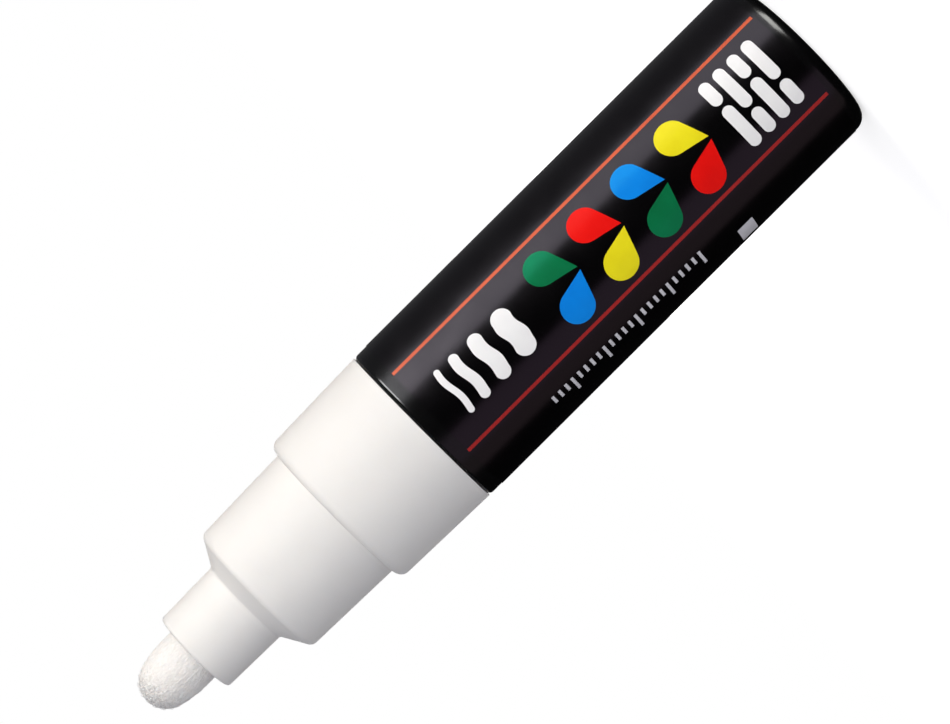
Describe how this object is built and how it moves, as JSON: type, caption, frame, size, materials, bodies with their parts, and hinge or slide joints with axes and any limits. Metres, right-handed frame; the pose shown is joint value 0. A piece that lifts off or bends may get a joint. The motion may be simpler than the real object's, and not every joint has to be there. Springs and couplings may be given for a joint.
{
  "type": "paint marker",
  "caption": "Bullet-nib paint marker: closed tank in a printed sleeve, stepped front holder, and a sprung valve that opens when the nib is pushed in.",
  "frame": {"origin": "centre of the flat tail that the marker stands on", "axes": "+Z along the barrel's axis from the tail to the nib; the printed motif faces -Y"},
  "size_m": [0.022, 0.022, 0.1051],
  "materials": {
    "black_moulding": "gloss",
    "printed_film": "gloss",
    "white_moulding": "satin",
    "valve_moulding": "satin",
    "seal_rubber": "matte",
    "spring_wire": "satin",
    "nib_felt": "matte",
    "ball_steel": "polished"
  },
  "bodies": {
    "marker_body": {"barrel": "black_moulding", "label_sleeve": "printed_film", "front_holder": "white_moulding", "housing_gasket": "seal_rubber", "valve_housing": "valve_moulding", "spring_retainer": "valve_moulding", "return_spring": "spring_wire"},
    "valve": {"valve_stem": "valve_moulding", "valve_seal": "seal_rubber"},
    "nib": {"nib": "nib_felt"},
    "ball_left": {"mixing_ball_left": "ball_steel"},
    "ball_right": {"mixing_ball_right": "ball_steel"}
  },
  "joints": [
    {"name": "valve_press", "type": "slide", "parent": "marker_body", "child": "valve", "axis": [0, 0, 1], "range_m": [-0.0025, 0], "stiffness_N_per_m": 400, "springref_m": 0.002, "deforming": ["return_spring"]},
    {"name": "nib_pull", "type": "slide", "parent": "valve", "child": "nib", "axis": [0, 0, 1], "range_m": [0, 0.0214]},
    {"name": "ball_left_rattle", "type": "slide", "parent": "marker_body", "child": "ball_left", "axis": [0, 0, 1], "range_m": [0, 0.0468]},
    {"name": "ball_right_rattle", "type": "slide", "parent": "marker_body", "child": "ball_right", "axis": [0, 0, 1], "range_m": [0, 0.0468]}
  ]
}
